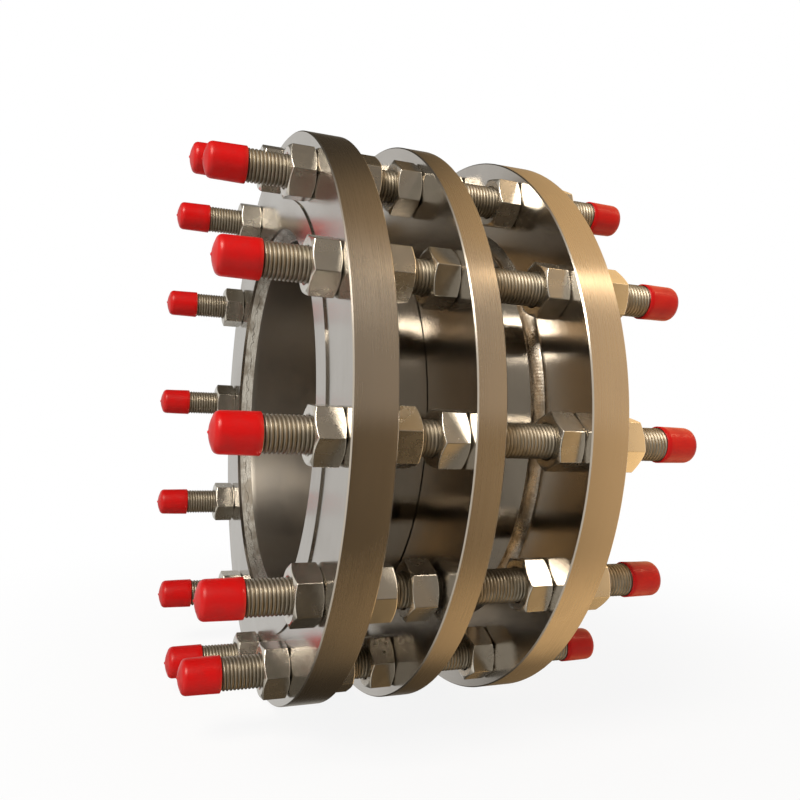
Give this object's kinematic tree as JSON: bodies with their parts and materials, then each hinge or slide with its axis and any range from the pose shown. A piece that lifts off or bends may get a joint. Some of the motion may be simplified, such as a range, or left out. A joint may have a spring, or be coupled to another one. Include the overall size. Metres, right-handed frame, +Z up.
{
  "type": "dismantling joint",
  "caption": "Double-flanged pipe dismantling joint: a spigot slides in a body through a gland and gasket, tied by threaded studs that also bolt it into the pipeline.",
  "frame": {"origin": "centre of the raised face of the body flange, on the pipe's axis", "axes": "+X along the pipe, out of the body flange towards the pipeline; +Z up; the studs lie in a ring whose first stud points along -Y"},
  "size_m": [0.3921, 0.5334, 0.5333],
  "materials": {
    "flange_steel": "turned stainless steel, fine circular tool marks",
    "pipe_steel": "polished stainless steel",
    "weld_steel": "as-welded stainless steel, rippled and heat tinted",
    "thread_steel": "rolled stainless thread, lightly oiled",
    "nut_steel": "machined stainless steel",
    "cap_red": "soft glossy vinyl",
    "gasket_rubber": "black rubber, matt"
  },
  "bodies": {
    "body": {"body_flange": "flange_steel", "body_tube": "pipe_steel", "body_weld": "weld_steel", "wedge_gasket": "gasket_rubber", "stud_01": "thread_steel", "stud_02": "thread_steel", "stud_03": "thread_steel", "stud_04": "thread_steel", "stud_05": "thread_steel", "stud_06": "thread_steel", "stud_07": "thread_steel", "stud_08": "thread_steel", "stud_09": "thread_steel", "stud_10": "thread_steel", "stud_11": "thread_steel", "stud_12": "thread_steel", "body_inner_nuts": "nut_steel", "body_outer_nuts": "nut_steel", "left_caps": "cap_red", "right_caps": "cap_red"},
    "spigot": {"spigot_flange": "flange_steel", "spigot_pipe": "pipe_steel", "spigot_back_weld": "weld_steel", "spigot_bore_weld": "weld_steel", "spigot_outer_nuts": "nut_steel", "spigot_inner_nuts": "nut_steel"},
    "gland": {"gland_ring": "flange_steel", "gland_nuts": "nut_steel"}
  },
  "joints": [
    {"name": "spigot_slide", "type": "slide", "parent": "body", "child": "spigot", "axis": [1, 0, 0], "range_m": [-0.0317, 0.0055]},
    {"name": "gland_slide", "type": "slide", "parent": "body", "child": "gland", "axis": [1, 0, 0], "range_m": [-0.005, 0]}
  ]
}
